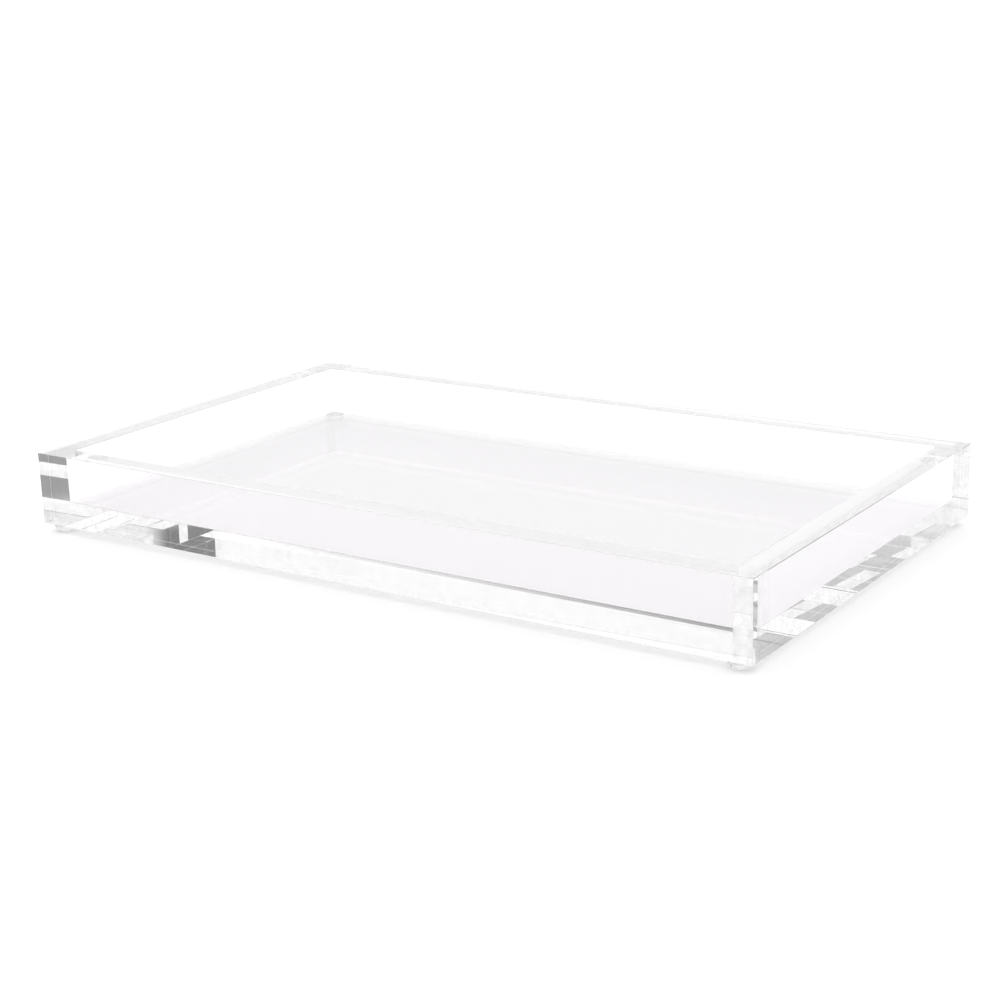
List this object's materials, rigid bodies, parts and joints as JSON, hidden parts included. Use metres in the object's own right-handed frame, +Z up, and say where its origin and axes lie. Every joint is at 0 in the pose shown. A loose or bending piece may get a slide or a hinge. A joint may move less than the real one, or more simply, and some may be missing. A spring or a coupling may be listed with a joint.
{
  "type": "vanity tray",
  "caption": "Shallow rectangular dresser tray of thick clear acrylic sheet, cemented at its corners and standing on small clear dome bumpers.",
  "frame": {"origin": "middle of the tray's footprint, on the surface that the bumpers stand on", "axes": "+X along the tray's long side towards the right wall, +Y from the front wall to the back wall, +Z up"},
  "size_m": [0.37, 0.215, 0.038],
  "materials": {
    "clear_acrylic": "polished",
    "bumper_rubber": "gloss",
    "adhesive_film": "satin"
  },
  "bodies": {
    "root": {"base_plate": "clear_acrylic", "front_wall": "clear_acrylic", "back_wall": "clear_acrylic", "left_wall": "clear_acrylic", "right_wall": "clear_acrylic", "bumper_front_left": "bumper_rubber", "bumper_front_right": "bumper_rubber", "bumper_back_left": "bumper_rubber", "bumper_back_right": "bumper_rubber", "adhesive_front_left": "adhesive_film", "adhesive_front_right": "adhesive_film", "adhesive_back_left": "adhesive_film", "adhesive_back_right": "adhesive_film"}
  },
  "joints": []
}
